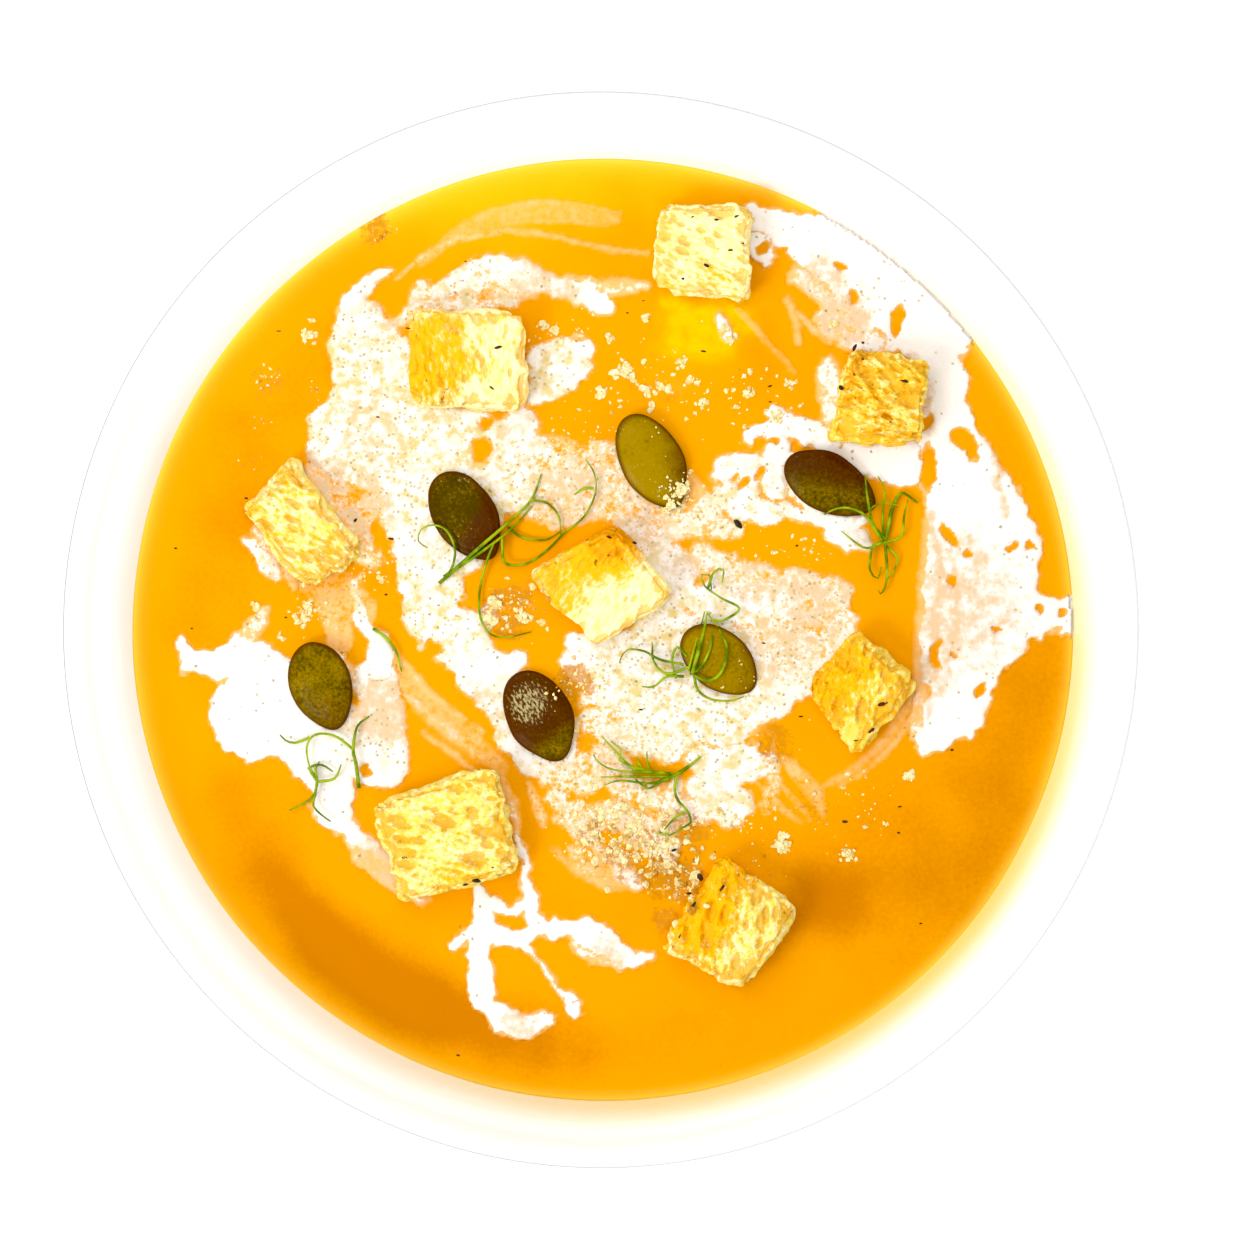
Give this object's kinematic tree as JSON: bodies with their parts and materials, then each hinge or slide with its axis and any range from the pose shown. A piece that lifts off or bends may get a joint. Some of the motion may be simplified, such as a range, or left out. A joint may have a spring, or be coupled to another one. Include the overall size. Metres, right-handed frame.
{
  "type": "bowl of pumpkin soup",
  "caption": "White round soup bowl on a foot ring, filled with pumpkin soup under swirled cream, with bread croutons, hulled pumpkin seeds and dill.",
  "frame": {"origin": "centre of the foot ring, on the surface that the bowl stands on", "axes": "+Z up, along the bowl's axis of revolution; +X to the right and +Y up as the toppings are seen from above"},
  "size_m": [0.1598, 0.1598, 0.0575],
  "materials": {
    "porcelain": "white glazed porcelain, smooth and glossy",
    "soup": "thick orange pumpkin soup, smooth and moist",
    "cream": "poured white cream, satin, thinning to a peach film",
    "bread": "toasted bread crumb, open pores, golden with browned edges",
    "pumpkin_seed": "hulled green pumpkin seed, olive to brown, satin sheen",
    "dill": "fresh dill threads, green"
  },
  "bodies": {
    "root": {"bowl": "porcelain", "soup": "soup", "cream_main": "cream", "cream_right": "cream", "cream_left": "cream", "cream_bottom": "cream", "crouton_1": "bread", "crouton_2": "bread", "crouton_3": "bread", "crouton_4": "bread", "crouton_5": "bread", "crouton_6": "bread", "crouton_7": "bread", "crouton_8": "bread", "pumpkin_seed_1": "pumpkin_seed", "pumpkin_seed_2": "pumpkin_seed", "pumpkin_seed_3": "pumpkin_seed", "pumpkin_seed_4": "pumpkin_seed", "pumpkin_seed_5": "pumpkin_seed", "pumpkin_seed_6": "pumpkin_seed", "dill_sprig_1": "dill", "dill_sprig_2": "dill", "dill_sprig_3": "dill", "dill_sprig_4": "dill", "dill_sprig_5": "dill", "dill_sprig_6": "dill"}
  },
  "joints": []
}
